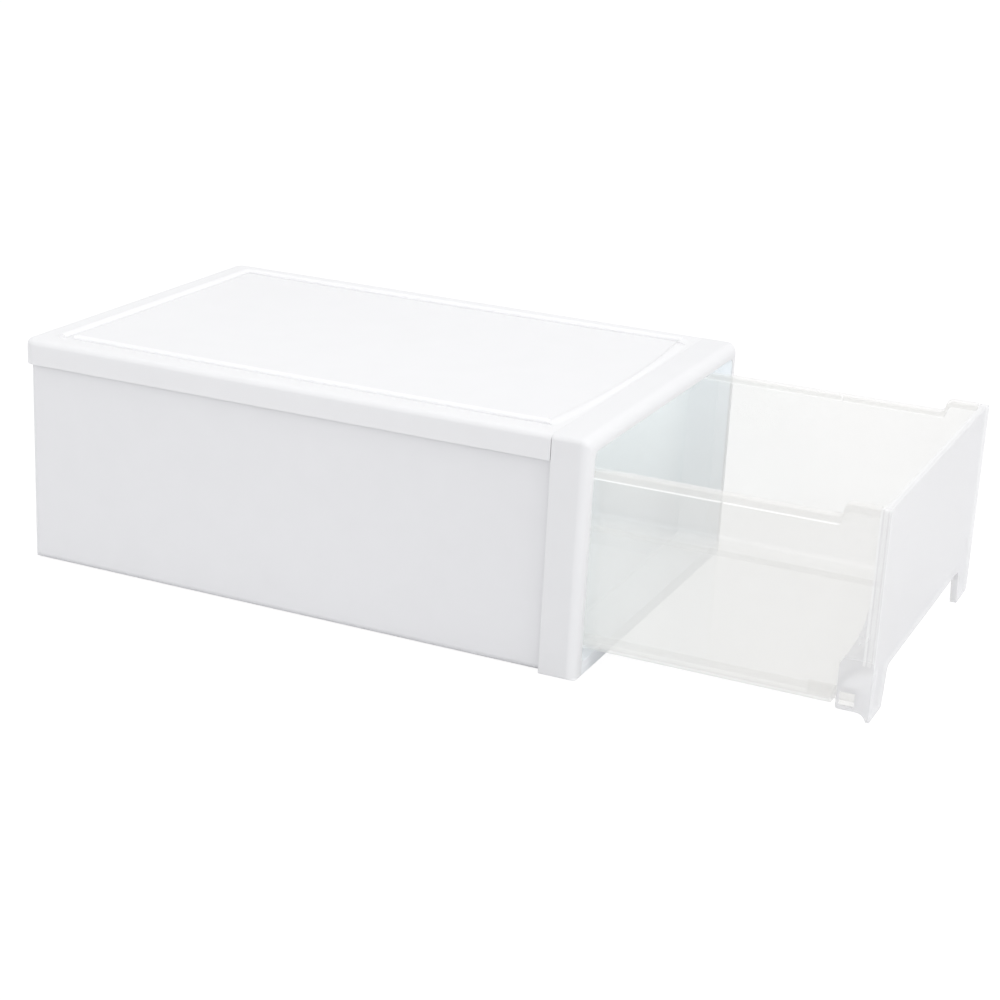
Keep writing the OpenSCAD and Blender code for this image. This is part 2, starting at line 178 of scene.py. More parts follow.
def painted_glow_group():
    """A painted glow that stands in for daylight coming through the thin white walls:
    emission on the faces inside the case, stronger under the cover than on the floor,
    with painted shade where the frame's flange doubles the wall."""
    group = bpy.data.node_groups.new("painted_glow_through_walls", "ShaderNodeTree")
    value_socket(group, "INPUT", "Floor Glow", "NodeSocketColor", rgba((0.2, 0.2, 0.2)))
    value_socket(group, "INPUT", "Ceiling Glow", "NodeSocketColor", rgba((0.4, 0.4, 0.4)))
    value_socket(group, "OUTPUT", "Glow", "NodeSocketColor")
    given = add_node(group, "NodeGroupInput").outputs
    at = add_node(group, "ShaderNodeTexCoord").outputs["Object"]
    along = add_node(group, "ShaderNodeSeparateXYZ", {"Vector": at}).outputs
    inside = 0.0
    for low, high in GLOWING_ROOMS:
        inside = maths(group, "MAXIMUM", inside, inside_box(group, along, low, high))
    # painted shade: the painted glow drops where the frame's flange doubles the wall
    single = ramp(
        group, along["Y"], FLANGE_SHADE_Y, (PAINTED_FLANGE_SHADE, 1.0), interpolation_type="SMOOTHSTEP"
    )
    height = ramp(group, along["Z"], (0.0, GLOW_TOP))
    level = blend(group, height, given["Floor Glow"], given["Ceiling Glow"])
    glow = blend(group, maths(group, "MULTIPLY", inside, single), rgba((0.0, 0.0, 0.0)), level)
    add_node(group, "NodeGroupOutput", {"Glow": glow})
    return group


MOULD_GRAIN = mould_grain_group()
HANDLING_MARKS = handling_marks_group()
PAINTED_GLOW_THROUGH = painted_glow_group()


def white_plastic(name, colour, roughness, grain, waviness, marks, glow):
    """White polypropylene: satin, with the mould's grain, faint mottling and rubs, and a
    painted glow on the faces inside the case. The mottling takes its roughness from the first value given
    to the second."""
    finish = bpy.data.materials.new(name)
    finish.use_nodes = True
    tree = finish.node_tree
    sizes = {"Grain Size": WHITE_GRAIN, "Grain Depth": grain, "Wall Waviness": waviness}
    texture = add_node(tree, "ShaderNodeGroup", sizes, node_tree=MOULD_GRAIN).outputs
    rubs = add_node(tree, "ShaderNodeGroup", {"Amount": marks}, node_tree=HANDLING_MARKS)
    # painted glow: emission on the faces inside the case, stronger higher up
    light = {"Floor Glow": rgba(glow[0]), "Ceiling Glow": rgba(glow[1])}
    through = add_node(tree, "ShaderNodeGroup", light, node_tree=PAINTED_GLOW_THROUGH)
    shine = ramp(tree, texture["Mottle"], (0.0, 1.0), roughness)
    worn = maths(tree, "MULTIPLY_ADD", rubs.outputs["Mask"], RUB_DULLS_WHITE, shine, clamp=True)
    relief = add_node(tree, "ShaderNodeBump", {
        "Strength": WHITE_RELIEF, "Distance": RELIEF_DEPTH, "Height": texture["Height"],
    })
    feed(tree, tree.nodes["Principled BSDF"], {
        "Base Color": blend(
            tree, texture["Mottle"], rgba(colour, 1 - MOTTLE_TINT), rgba(colour, 1 + MOTTLE_TINT)
        ),
        "Roughness": worn,
        "IOR": PLASTIC_IOR,
        "Normal": relief.outputs["Normal"],
        "Emission Color": through.outputs["Glow"],
        "Emission Strength": 1.0,
    })
    return finish


def add_piece(name, mesh, finish, body):
    """Puts a finished mesh in the scene at the origin, riding on its body."""
    piece = bpy.data.objects.new(name, mesh)
    bpy.context.scene.collection.objects.link(piece)
    mesh.materials.clear()
    mesh.materials.append(finish)
    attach(piece, body)
    return piece


def merged_copy(node, name):
    """A copy of a CAD node's loose triangles as one shell with flat faces whole again."""
    shell = bmesh.new()
    shell.from_mesh(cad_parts[node].data)
    bmesh.ops.remove_doubles(shell, verts=shell.verts, dist=MERGE_WITHIN)
    bmesh.ops.dissolve_limit(
        shell, angle_limit=math.radians(FLAT_WITHIN), verts=shell.verts, edges=shell.edges
    )
    mesh = bpy.data.meshes.new(name)
    shell.to_mesh(mesh)
    shell.free()
    return mesh


def shade_smooth(piece, sharp_from):
    """Shades the curves smooth, and leaves edges over sharp_from degrees sharp."""
    for face in piece.data.polygons:
        face.use_smooth = True
    piece.data.set_sharp_from_angle(angle=math.radians(sharp_from))


def ease_edges(piece, width, steps=2, angle=35.0):
    """Rounds the sharp edges as the mould does, and shades the curves smooth."""
    shade_smooth(piece, angle)
    ease = piece.modifiers.new("eased_edges", "BEVEL")
    ease.width = width
    ease.segments = steps
    ease.limit_method = "ANGLE"
    ease.angle_limit = math.radians(angle)
    ease.harden_normals = True
    ease.use_clamp_overlap = True
    flat = piece.modifiers.new("flat_faces_stay_flat", "WEIGHTED_NORMAL")
    flat.keep_sharp = True
    flat.weight = FLAT_FACES_WEIGHT


case_plastic = white_plastic(
    "case_plastic", CASE_WHITE, (0.42, 0.52), grain=0.30, waviness=0.5, marks=0.6, glow=WALL_GLOW
)
case_body = add_piece("case_tub", merged_copy("case_body", "case_tub"), case_plastic, "case")
ease_edges(case_body, BODY_EDGE)
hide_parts("case_body")


# ---------------------------------------------------------------- top cover
# The lid: one white polypropylene moulding whose skirt hangs 21 mm over the body
# and presses on over its beads. Its wide middle has settled a little under the
# boxes above.

HALF_W = 0.170
REAR_Y = 0.2525
COVER_Y = -0.2205
CASE_H = 0.192
SKIRT_Z = 0.1711
WALL = 0.0024
COVER_CORNER_R = 0.011
TOP_EDGE_R = 0.005
COVER_WHITE = (0.865, 0.866, 0.872)
COVER_EDGE = 0.15e-3
# the cover's top and its skirt reach this far forwards of COVER_Y, and so narrow
# the seam to the frame; the skirt's reach passes into the top's over SEAM_TURN
TOP_CLOSE, SKIRT_CLOSE = 0.00093, 0.00045
SEAM_TURN_UP, SEAM_TURN = 0.015, 0.004
# the sag is deepest in the middle, flat across, and ends at these lines
COVER_SAG = 0.0022
SAG_X, SAG_FRONT, SAG_REAR = 0.159, -0.2195, 0.2415
SAG_POWER_ACROSS, SAG_POWER_ALONG = 4, 0.8
# the tongue under the cover's front edge, which reaches forwards under the frame's top
TONGUE_X, TONGUE_Z, TONGUE_L = 0.1631, 0.1869, 0.010
TONGUE_SET_BACK = 0.0002
TONGUE_EDGE = 0.3e-3


def sag(x, y):
    """How far the cover's middle lies below its border at a point of the plan."""
    across = max(0.0, 1.0 - (x / SAG_X) ** SAG_POWER_ACROSS)
    t = (y - SAG_FRONT) / (SAG_REAR - SAG_FRONT)
    along = max(0.0, math.sin(math.pi * min(1.0, max(0.0, t)))) ** SAG_POWER_ALONG
    return COVER_SAG * across * along


def spread(a, b, count):
    """count + 1 even places from a to b."""
    return [a + (b - a) * i / count for i in range(count + 1)]


def shell_mesh(name, points, faces):
    """A mesh from points and faces, with doubled points merged."""
    build = bmesh.new()
    made = [build.verts.new(p) for p in points]
    for face in faces:
        ring = []
        for i in face:
            if not ring or made[i] is not ring[-1]:
                ring.append(made[i])
        if len(set(ring)) > 2:
            build.faces.new(ring)
    bmesh.ops.remove_doubles(build, verts=build.verts, dist=1e-6)
    bmesh.ops.dissolve_degenerate(build, edges=build.edges, dist=1e-7)
    mesh = bpy.data.meshes.new(name)
    build.to_mesh(mesh)
    build.free()
    return mesh


def cover_skin():
    """The cover's outer skin: a skirt round three sides that rolls over into the top."""
    n_side, n_rear, n_arc, n_roll = 40, 28, 10, 8
    x_in, y_in = HALF_W - COVER_CORNER_R, REAR_Y - COVER_CORNER_R
    quarter = spread(0.0, math.pi / 2, n_arc)[1:]

    def edge_line(inset, z):
        """One line up the left side, across the rear and down the right side."""
        r = max(COVER_CORNER_R - inset, 0.0)
        x, y = HALF_W - inset, REAR_Y - inset
        up = min(1.0, max(0.0, (z - SKIRT_Z - SEAM_TURN_UP) / SEAM_TURN))
        front = COVER_Y - SKIRT_CLOSE - (TOP_CLOSE - SKIRT_CLOSE) * up
        line = [(-x, v) for v in spread(front, y_in, n_side)]
        line += [(-x_in - r * math.cos(a), y_in + r * math.sin(a)) for a in quarter]
        line += [(v, y) for v in spread(-x_in, x_in, n_rear)][1:]
        line += [(x_in + r * math.sin(a), y_in + r * math.cos(a)) for a in quarter]
        line += [(x, v) for v in spread(y_in, front, n_side)][1:]
        return [(px, py, z) for px, py in line]

    lines = [edge_line(0.0, SKIRT_Z), edge_line(0.0, CASE_H - TOP_EDGE_R)]
    for a in spread(0.0, math.pi / 2, n_roll)[1:]:
        inset, down = TOP_EDGE_R * (1 - math.cos(a)), TOP_EDGE_R * (1 - math.sin(a))
        lines.append(edge_line(inset, CASE_H - down))
    lines.append(edge_line(COVER_CORNER_R, CASE_H))
    points, faces = sum(lines, []), []
    n = len(lines[0])
    for j in range(len(lines) - 1):
        for i in range(n - 1):
            k, up = j * n + i, (j + 1) * n + i
            faces.append((k, up, up + 1, k + 1))
    start = len(points)
    for y in spread(COVER_Y - TOP_CLOSE, y_in, n_side):
        points += [(x, y, CASE_H - sag(x, y)) for x in spread(-x_in, x_in, n_rear)]
    w = n_rear + 1
    for j in range(n_side):
        for i in range(n_rear):
            k = start + j * w + i
            faces.append((k, k + 1, k + w + 1, k + w))
    return shell_mesh("cover_lid", points, faces)


def wall_thickness(piece, thickness):
    """Gives a skin the even wall of a moulding, on the side away from its normals."""
    wall = piece.modifiers.new("wall", "SOLIDIFY")
    wall.thickness = thickness
    wall.offset = -1.0
    wall.use_even_offset = True
    wall.use_quality_normals = True


def bars_mesh(name, bars):
    """Straight bars, each given by its lowest and its highest corner."""
    points, faces = [], []
    for (x0, y0, z0), (x1, y1, z1) in bars:
        start = len(points)
        points += [(x, y, z) for z in (z0, z1) for x, y in ((x0, y0), (x1, y0), (x1, y1), (x0, y1))]
        for face in ((3, 2, 1, 0), (4, 5, 6, 7), (0, 1, 5, 4), (1, 2, 6, 5), (2, 3, 7, 6), (3, 0, 4, 7)):
            faces.append(tuple(start + i for i in face))
    return shell_mesh(name, points, faces)


cover_plastic = white_plastic(
    "cover_plastic", COVER_WHITE, (0.40, 0.50), grain=0.22, waviness=0.6, marks=1.0, glow=WALL_GLOW
)
cover = add_piece("cover_lid", cover_skin(), cover_plastic, "case")
wall_thickness(cover, WALL)
ease_edges(cover, COVER_EDGE)
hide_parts("top_cover")

tongue_bars = [
    ((-TONGUE_X, COVER_Y - TONGUE_L, TONGUE_Z), (TONGUE_X, COVER_Y + WALL, TONGUE_Z + WALL)),
    ((-TONGUE_X, COVER_Y + TONGUE_SET_BACK, TONGUE_Z), (TONGUE_X, COVER_Y + WALL, TONGUE_Z + 1.5 * WALL)),
]
tongue = add_piece(
    "cover_tongue", bars_mesh("cover_tongue", tongue_bars), cover_plastic, "case"
)
ease_edges(tongue, TONGUE_EDGE)


# ---------------------------------------------------------------- stacking ribs
# Low ribs of white polypropylene, moulded on the cover, which drop into the groove
# under the next box. The rear rib and the side ribs are 10 to 11 mm wide over
# their soft feet. The front one is a low bowed ridge.

RIB_X, RIB_REAR_Y = 0.145, 0.2275
RIB_LEFT_END, RIB_REAR_END = -0.1495, 0.217  # the left rib stops short of the rear one
RIB_SIZES = {
    "Rib Width": 0.0115, "Rib Height": 0.003, "Sunk Depth": 0.001,
    "Crest Share": 0.34, "Edge Round": 0.0036, "Corner Round": 0.0055,
}
RIB_FOOT_SHARE = 1.12  # width of the sunk foot, as a share of the rib's width
RIB_CORNER_STEPS, RIB_EDGE_STEPS = 8, 6
# painted highlight: the ribs' white is lighter than the cover's
RIB_PAINTED_WHITE = (0.925, 0.925, 0.93)
RIB_SHARP_FROM = 50
FRONT_RIB_R = 1.2
FRONT_RIB_SET_BACK = 0.00325
FRONT_RIB_H = 0.0018
FRONT_RIB_SUNK = 0.0008
FRONT_RIB_END, DRAIN_SLOT = 0.1490, (0.1285, 0.1345)
RAMP, BACK_SLOPE = 0.0075, 0.0030  # lengths of the slopes before and behind the crest
RAMP_POWER, BACK_POWER = 1.4, 0.9
CREST_BACK, FOOT_BACK = 0.0006, 0.0004  # how far the crest and the foot lie behind their lines
FOOT_LIFT = 0.00002


def end_tree(tree, made, plastic, name):
    """Makes the instances real, sets the material, and puts the result out."""
    real = add_node(tree, "GeometryNodeRealizeInstances", {"Geometry": made}).outputs[0]
    painted = add_node(tree, "GeometryNodeSetMaterial", {"Geometry": real, "Material": plastic})
    add_node(tree, "NodeGroupOutput", {name: painted.outputs["Geometry"]})


def ribs_tree():
    """Sweeps a rib's rounded section along every line of the plan it is given."""
    tree = bpy.data.node_groups.new("swept_ribs", "GeometryNodeTree")
    value_socket(tree, "INPUT", "Lines", "NodeSocketGeometry")
    for name, size in RIB_SIZES.items():
        value_socket(tree, "INPUT", name, default=size)
    value_socket(tree, "INPUT", "Plastic", "NodeSocketMaterial")
    value_socket(tree, "OUTPUT", "Ribs", "NodeSocketGeometry")
    given = add_node(tree, "NodeGroupInput").outputs

    def rounded(curve, radius, steps):
        fed = {"Curve": curve, "Radius": radius, "Count": steps, "Limit Radius": True}
        return add_node(tree, "GeometryNodeFilletCurve", fed, mode="POLY").outputs["Curve"]

    lines = add_node(tree, "GeometryNodeMeshToCurve", {"Mesh": given["Lines"]}).outputs["Curve"]
    path = add_node(tree, "GeometryNodeSetCurveNormal", {
        "Curve": rounded(lines, given["Corner Round"], RIB_CORNER_STEPS),
    }, mode="Z_UP")
    # the sweep turns the section upside down, so its bottom edge becomes the crest
    section = add_node(tree, "GeometryNodeCurvePrimitiveQuadrilateral", {
        "Bottom Width": maths(tree, "MULTIPLY", given["Rib Width"], given["Crest Share"]),
        "Top Width": maths(tree, "MULTIPLY", given["Rib Width"], RIB_FOOT_SHARE),
        "Offset": 0.0,
        "Height": maths(tree, "ADD", given["Rib Height"], given["Sunk Depth"]),
    }, mode="TRAPEZOID")
    lift = maths(tree, "SUBTRACT", given["Sunk Depth"], given["Rib Height"])
    rise = add_node(tree, "ShaderNodeCombineXYZ", {"Y": maths(tree, "MULTIPLY", lift, 0.5)})
    placed = add_node(tree, "GeometryNodeTransform", {
        "Geometry": rounded(section.outputs["Curve"], given["Edge Round"], RIB_EDGE_STEPS),
        "Translation": rise.outputs[0],
    })
    sweep = add_node(tree, "GeometryNodeCurveToMesh", {
        "Curve": path.outputs["Curve"], "Profile Curve": placed.outputs["Geometry"], "Fill Caps": True,
    })
    end_tree(tree, sweep.outputs["Mesh"], given["Plastic"], "Ribs")
    return tree


def lines_mesh(name, lines):
    """Edges only: an open line for each row of points, or a single point."""
    points, edges = [], []
    for line in lines:
        start = len(points)
        points += line
        edges += [(start + i, start + i + 1) for i in range(len(line) - 1)]
    mesh = bpy.data.meshes.new(name)
    mesh.from_pydata(points, edges, [])
    return mesh


def made_by_nodes(name, base, tree, settings):
    """Runs a node tree on a base mesh with its inputs set, and returns the plain mesh it makes."""
    holder = bpy.data.objects.new(name + "_lines", base)
    bpy.context.scene.collection.objects.link(holder)
    run = holder.modifiers.new(name, "NODES")
    run.node_group = tree
    for socket in tree.interface.items_tree:
        if socket.in_out == "INPUT" and socket.name in settings:
            run[socket.identifier] = settings[socket.name]
    bpy.context.view_layer.update()
    result = holder.evaluated_get(bpy.context.evaluated_depsgraph_get())
    mesh = bpy.data.meshes.new_from_object(result)
    mesh.name = name
    holder.modifiers.remove(run)
    bpy.data.objects.remove(holder)
    return mesh


def on_cover(x, y):
    """The point of the cover's top that lies over a point of the plan."""
    return (x, y, CASE_H - sag(x, y))


def bow_y(x):
    """Middle of the bowed front rib at x."""
    return COVER_Y + FRONT_RIB_SET_BACK + FRONT_RIB_R - math.sqrt(FRONT_RIB_R ** 2 - x ** 2)


def front_rib_mesh():
    """The bowed front rib: a long ramp that rises from the cover's front edge to a
    crest, and a short slope behind it. A drain slot cuts it near its right end."""
    points, faces = [], []
    left_part = (-FRONT_RIB_END, DRAIN_SLOT[0], 60)
    right_part = (DRAIN_SLOT[1], FRONT_RIB_END, 6)
    for x_from, x_to, count in (left_part, right_part):
        start = len(points)
        for x in spread(x_from, x_to, count):
            crest = bow_y(x) + CREST_BACK
            foot = max(COVER_Y + FOOT_BACK, crest - RAMP)
            end = crest + BACK_SLOPE
            section = [(foot, -FRONT_RIB_SUNK), (foot, FOOT_LIFT)]
            for t in spread(0.0, 1.0, 10)[1:]:
                up = math.sin(t * math.pi / 2) ** RAMP_POWER
                section.append((foot + (crest - foot) * t, FRONT_RIB_H * up))
            for t in spread(0.0, 1.0, 8)[1:-1]:
                up = math.cos(t * math.pi / 2) ** BACK_POWER
                section.append((crest + BACK_SLOPE * t, FRONT_RIB_H * up))
            section += [(end, FOOT_LIFT), (end, -FRONT_RIB_SUNK)]
            points += [(x, y, CASE_H - sag(x, y) + z) for y, z in section]
            n = len(section)
        for j in range(count):
            for i in range(n):
                k, up = start + j * n, start + (j + 1) * n
                faces.append((k + i, up + i, up + (i + 1) % n, k + (i + 1) % n))
        faces.append(tuple(start + i for i in range(n)))
        faces.append(tuple(start + count * n + i for i in reversed(range(n))))
    return shell_mesh("front_rib", points, faces)


# the ribs are painted a lighter white than the cover: a painted highlight for the light on their crests
bright_painted_rib_plastic = white_plastic(
    "bright_painted_rib_plastic", RIB_PAINTED_WHITE, (0.36, 0.46), grain=0.15, waviness=0.0, marks=0.5, glow=WALL_GLOW
)
side_front = bow_y(RIB_X)
rear_and_right = [on_cover(x, RIB_REAR_Y) for x in spread(RIB_LEFT_END, RIB_X, 40)]
rear_and_right += [on_cover(RIB_X, y) for y in spread(RIB_REAR_Y, side_front, 60)][1:]
left = [on_cover(-RIB_X, y) for y in spread(RIB_REAR_END, side_front, 60)]
long_ribs = made_by_nodes(
    "stacking_ribs", lines_mesh("rib_lines", [rear_and_right, left]),
    ribs_tree(), {**RIB_SIZES, "Plastic": bright_painted_rib_plastic},
)
ribs = add_piece("stacking_ribs", long_ribs, bright_painted_rib_plastic, "case")
shade_smooth(ribs, RIB_SHARP_FROM)

front_rib = add_piece("front_rib", front_rib_mesh(), cover_plastic, "case")
shade_smooth(front_rib, RIB_SHARP_FROM)


# ---------------------------------------------------------------- front frame
# A bezel of white polypropylene, pressed on over the front of the body: an outer
# flange 31 mm deep, softly rolled front edges, and a liner that guides the drawer.

FRONT_Y = -0.2525
FLANGE_Y = -0.2215
LINER_Y = -0.214
BEZEL = 0.012
ROLL_R = 0.009
FOOT_R, FOOT_R_LOSS = 0.0015, 0.7  # the bottom edge's round, and the share it loses in the roll
CORNER_R, ROLLED_CORNER_R = 0.005, 0.0035
FLANGE_EDGE = 0.00015
INNER_CORNER_R, INNER_ROLL_CORNER_R = 0.001, 0.0015
MOUTH_TOP_R, MOUTH_LOW_R = 0.006, 0.004
MOUTH_EDGE = 0.0008
BAND = 0.012  # the mouth's rim is this deep; behind it the liner stands back by RELIEF
RELIEF = 0.0008
RELIEF_SLOPE = 0.0003
LIP_T, LIP_LOW, LIP_TOP, LIP_X = 0.003, 0.0105, 0.014, 0.1582
FRAME_WHITE = (0.835, 0.838, 0.845)
# painted glow on the frame's faces inside the mouth and on the face of its bottom rail
FRAME_GLOW = ((0.09, 0.11, 0.125), (0.29, 0.335, 0.37))
FRAME_SHARP_FROM = 40


def frame_line(inset, low, r_high, r_low, y, y_low=None):
    """One closed line round the frame: its distance from the outer faces at the sides
    and top, and at the bottom, its corner radii, and where it lies at the same places."""
    n_arc = 8
    y_low = y if y_low is None else y_low
    x, z0, z1 = HALF_W - inset, low, CASE_H - inset
    r_high, r_low = max(r_high, 1e-5), max(r_low, 1e-5)
    line = []
    for cx, cz, r, start, ya, yb in (
        (x - r_high, z1 - r_high, r_high, 0.0, y, y),
        (-x + r_high, z1 - r_high, r_high, 90.0, y, y),
        (-x + r_low, z0 + r_low, r_low, 180.0, y, y_low),
        (x - r_low, z0 + r_low, r_low, 270.0, y_low, y),
    ):
        for k in range(n_arc + 1):
            a = math.radians(start + 90.0 * k / n_arc)
            t = k / n_arc
            line.append((cx + r * math.cos(a), ya + (yb - ya) * t, cz + r * math.sin(a)))
    return line


def stop_lip(start):
    """The lip across the rear of the bottom rail, with a round top, as points and faces."""
    r = LIP_T / 2
    section = [(LINER_Y - LIP_T, LIP_LOW), (LINER_Y, LIP_LOW)]
    section += [
        (LINER_Y - r + r * math.cos(a), LIP_TOP - r + r * math.sin(a)) for a in spread(0.0, math.pi, 8)
    ]
    points = [(x, y, z) for x in (-LIP_X, LIP_X) for y, z in section]
    c = len(section)
    faces = [(start + i, start + (i + 1) % c, start + c + (i + 1) % c, start + c + i) for i in range(c)]
    faces.append(tuple(start + i for i in reversed(range(c))))
    faces.append(tuple(start + c + i for i in range(c)))
    return points, faces


def frame_skin():
    """The whole frame, made line by line: over the flange to the front, round the roll
    into the mouth, back along the liner, and forwards again inside the wall."""
    e = FLANGE_EDGE
    lines = [
        frame_line(WALL, WALL, INNER_CORNER_R, INNER_CORNER_R, FLANGE_Y),
        frame_line(e, e, CORNER_R - e, FOOT_R - e, FLANGE_Y),
        frame_line(0, 0, CORNER_R, FOOT_R, FLANGE_Y - e),
    ]
    for a in spread(0.0, math.pi / 2, 12):
        inset, back = 1 - math.cos(a), 1 - math.sin(a)
        lines.append(frame_line(
            ROLL_R * inset, FOOT_R * inset,
            CORNER_R + (ROLLED_CORNER_R - CORNER_R) * inset, FOOT_R * (1 - FOOT_R_LOSS * inset),
            FRONT_Y + ROLL_R * back, FRONT_Y + FOOT_R * back,
        ))
    for a in spread(0.0, math.pi / 2, 4):
        grow = MOUTH_EDGE * (1 - math.sin(a))
        inset, y = BEZEL - grow, FRONT_Y + MOUTH_EDGE * (1 - math.cos(a))
        lines.append(frame_line(inset, inset, MOUTH_TOP_R + grow, MOUTH_LOW_R + grow, y))
    for grow, y in (
        (0.0, FRONT_Y + BAND - RELIEF_SLOPE), (RELIEF, FRONT_Y + BAND + RELIEF_SLOPE), (RELIEF, LINER_Y),
    ):
        lines.append(frame_line(BEZEL - grow, BEZEL, MOUTH_TOP_R + grow, MOUTH_LOW_R, y))
    back = BEZEL - WALL
    for y in (LINER_Y, FRONT_Y + WALL):
        lines.append(frame_line(back, back, MOUTH_TOP_R + WALL, MOUTH_LOW_R + WALL, y))
    inner_roll = ROLL_R - WALL
    for a in spread(math.pi / 2, 0.0, 6):
        inset, rear = inner_roll * (1 - math.cos(a)), inner_roll * (1 - math.sin(a))
        lines.append(frame_line(
            WALL + inset, WALL, INNER_ROLL_CORNER_R, INNER_ROLL_CORNER_R,
            FRONT_Y + WALL + rear, FRONT_Y + WALL,
        ))
    points, faces = sum(lines, []), []
    n, m = len(lines[0]), len(lines)
    for j in range(m):
        for i in range(n):
            k, up = j * n, ((j + 1) % m) * n
            faces.append((k + i, up + i, up + (i + 1) % n, k + (i + 1) % n))
    lip_points, lip_faces = stop_lip(len(points))
    return shell_mesh("front_frame_bezel", points + lip_points, faces + lip_faces)


frame_plastic = white_plastic(
    "frame_plastic", FRAME_WHITE, (0.42, 0.52), grain=0.15, waviness=0.4, marks=0.5, glow=FRAME_GLOW
)
bezel = add_piece("frame_bezel", frame_skin(), frame_plastic, "case")
shade_smooth(bezel, FRAME_SHARP_FROM)
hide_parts("front_frame")


# ---------------------------------------------------------------- snap ridges
# Short bars of the same white polypropylene, moulded inside the cover's skirt and
# the frame's flange. They spring over the beads of the body and hold the three
# white pieces together.

RIDGE_X = 0.16765
COVER_RIDGE, COVER_RIDGE_Z = (0.0023, 0.030, 0.004), 0.1813
COVER_RIDGES_Y = (-0.1515, -0.0505, 0.0505, 0.1515)
FRAME_RIDGE, FRAME_RIDGE_Y = (0.0023, 0.004, 0.030), -0.2297
FRAME_RIDGES_Z = (0.048, 0.096, 0.144)
RIDGE_EDGE = 0.4e-3


def ridges_tree():
    """Puts one bar of the given size on every point."""
    tree = bpy.data.node_groups.new("snap_ridges", "GeometryNodeTree")
    value_socket(tree, "INPUT", "Places", "NodeSocketGeometry")
    value_socket(tree, "INPUT", "Bar Size", "NodeSocketVector", COVER_RIDGE)
    value_socket(tree, "INPUT", "Plastic", "NodeSocketMaterial")
    value_socket(tree, "OUTPUT", "Ridges", "NodeSocketGeometry")
    given = add_node(tree, "NodeGroupInput").outputs
    bar = add_node(tree, "GeometryNodeMeshCube", {"Size": given["Bar Size"]})
    placed = add_node(tree, "GeometryNodeInstanceOnPoints", {
        "Points": given["Places"], "Instance": bar.outputs["Mesh"],
    })
    end_tree(tree, placed.outputs["Instances"], given["Plastic"], "Ridges")
    return tree


ridges = ridges_tree()
cover_places = [(s * RIDGE_X, y, COVER_RIDGE_Z) for s in (-1, 1) for y in COVER_RIDGES_Y]
frame_places = [(s * RIDGE_X, FRAME_RIDGE_Y, z) for s in (-1, 1) for z in FRAME_RIDGES_Z]
for name, places, size, plastic, slot in (
    ("cover_ridges", cover_places, COVER_RIDGE, cover_plastic, "cover_white"),
    ("frame_ridges", frame_places, FRAME_RIDGE, frame_plastic, "frame_white"),
):
    points = lines_mesh(name, [[place] for place in places])
    mesh = made_by_nodes(name, points, ridges, {"Bar Size": size, "Plastic": plastic})
    ease_edges(add_piece(name, mesh, plastic, "case"), RIDGE_EDGE)


# ---------------------------------------------------------------- drawer tray
# The clear box: one polystyrene moulding 2.2 mm thick, with leaning sides, a
# turned-down rim on three sides and a hollow at the front for the fingers.

FACE_Y = -0.476
CLEAR = 0.0022
FLOOR_Z = 0.017
RIM_Z, PANEL_Z = 0.1665, 0.177
FLOOR_X, WALL_X, RIM_X = 0.1475, 0.1505, 0.157
# distances behind the drawer's face
TRAY_FRONT, TRAY_REAR = 0.0025, 0.4885
RIM_START, NOTCH_AT = 0.0086, 0.123
RISE_LEN, RISE_R = 0.0343, 0.0052
SCOOP_R = 0.030
HOLLOW_END = 0.06
BASE_R, HEEL_R, REAR_R = 0.007, 0.0064, 0.008
LIP_H = 0.0075
RIM_BEND = 0.0024
TRAY_VEIL = (0.78, 0.772, 0.752)
# painted glow of the tray, face on and edge on
TRAY_PAINTED_GLOW = ((0.13, 0.129, 0.124), (0.64, 0.64, 0.635))
TRAY_EDGE, TRAY_SHARP_FROM = 0.3e-3, 50.0
# colour of the painted highlights
PAINTED_EDGE_HIGHLIGHT = (0.62, 0.63, 0.64)
# box of a painted highlight along the lower edge of the rim's lip, from its lowest to its highest corner on
# the right side
LIP_PAINTED_HIGHLIGHT_BOX = ((0.1535, -0.5, RIM_Z - LIP_H - 0.0002), (0.2, 0.5, RIM_Z - LIP_H + 0.0008))
CLEAR_GRAIN, CLEAR_GRAIN_DEPTH, CLEAR_RELIEF = 0.025, 0.08, 0.15
CLEAR_RUBS, RUB_DULLS_CLEAR, RUB_VEILS, MOTTLE_VEILS = 0.35, 0.25, 0.05, 0.03
CLEAR_SPECULAR = 0.9
VEIL_BLEND, PAINTED_GLOW_POWER = 0.25, 3.0
GLOSS_BLEND, GLOSS_POWER, GLOSS_GRAZING, GLOSS_FACE_ON = 0.5, 5.0, 0.85, 0.03


def rim_height(y):
    """Height of the rim's top at y behind the drawer's face: the raised front end
    comes down to the rim in two curves."""
    if y <= RISE_LEN - RISE_R:
        return PANEL_Z
    if y >= RISE_LEN + RISE_R:
        return RIM_Z
    if y <= RISE_LEN:
        d = y - (RISE_LEN - RISE_R)
        return PANEL_Z - RISE_R + math.sqrt(max(RISE_R ** 2 - d ** 2, 0.0))
    d = RISE_LEN + RISE_R - y
    return RIM_Z + RISE_R - math.sqrt(max(RISE_R ** 2 - d ** 2, 0.0))


def walled_mesh(name, upper, under, faces):
    """A closed wall between two skins with the same faces."""
    free_edges = {}
    for face in faces:
        for a, b in zip(face, face[1:] + face[:1]):
            if free_edges.pop((b, a), None) is None:
                free_edges[(a, b)] = True
    shift = len(upper)
    closed = list(faces)
    closed += [tuple(shift + i for i in reversed(face)) for face in faces]
    closed += [(b, a, shift + a, shift + b) for a, b in free_edges]
    used = sorted({i for face in closed for i in face})
    index = {old: new for new, old in enumerate(used)}
    points = upper + under
    return shell_mesh(name, [points[i] for i in used], [tuple(index[i] for i in face) for face in closed])


